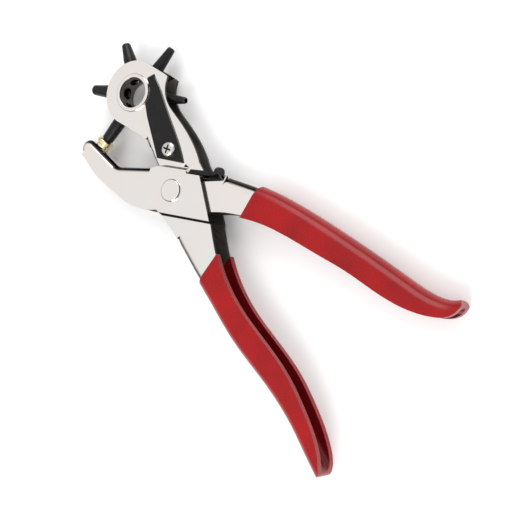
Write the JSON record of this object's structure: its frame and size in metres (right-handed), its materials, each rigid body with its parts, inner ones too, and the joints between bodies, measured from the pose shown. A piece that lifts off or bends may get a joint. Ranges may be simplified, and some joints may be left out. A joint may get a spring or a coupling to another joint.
{
  "type": "rotary hole punch pliers",
  "caption": "Rotary hole punch pliers with a revolving turret of punch tubes, an anvil jaw, a sprung pivot, a locking catch and dipped grips.",
  "frame": {"origin": "pivot axis, at the face of the rivet head the tool rests on", "axes": "+X from the working punch tube towards the turret's free side, +Y from the handles towards the head, +Z along the pivot axis"},
  "size_m": [0.1004, 0.2243, 0.0173],
  "materials": {
    "chrome": "polished plating, with darker brushed inner faces",
    "black": "satin black",
    "steel": "bright plated",
    "brass": "satin",
    "red_grip": "glossy dipped coating"
  },
  "bodies": {
    "turret_handle": {"turret_frame": "chrome", "pivot_rivet": "chrome", "detent_spring": "black", "detent_screw": "steel", "detent_nut": "steel", "return_spring": "steel", "grip_lower": "red_grip"},
    "anvil_handle": {"anvil_frame": "chrome", "anvil": "brass", "catch_pin": "steel", "grip_upper": "red_grip"},
    "turret": {"turret_hub": "black", "turret_sleeve": "chrome", "punch_tube_45": "black", "punch_tube_40": "black", "punch_tube_35": "black", "punch_tube_30": "black", "punch_tube_25": "black", "punch_tube_20": "black"},
    "catch": {"lock_catch": "black"}
  },
  "joints": [
    {"name": "handle_pivot", "type": "hinge", "parent": "turret_handle", "child": "anvil_handle", "pos_m": [0, 0, 0.0084], "axis": [0, 0, 1], "range_deg": [0, 11]},
    {"name": "turret_spin", "type": "hinge", "parent": "turret_handle", "child": "turret", "pos_m": [0.0212, 0.0534, 0.0084], "axis": [0, 0, 1], "continuous": true},
    {"name": "catch_swing", "type": "hinge", "parent": "anvil_handle", "child": "catch", "pos_m": [0.017, -0.0192, 0.0084], "axis": [0, 0, 1], "range_deg": [-30, 0]}
  ],
  "couplings": [
    {"joint": "catch_swing", "follows": "handle_pivot", "ratio": -2.5}
  ]
}
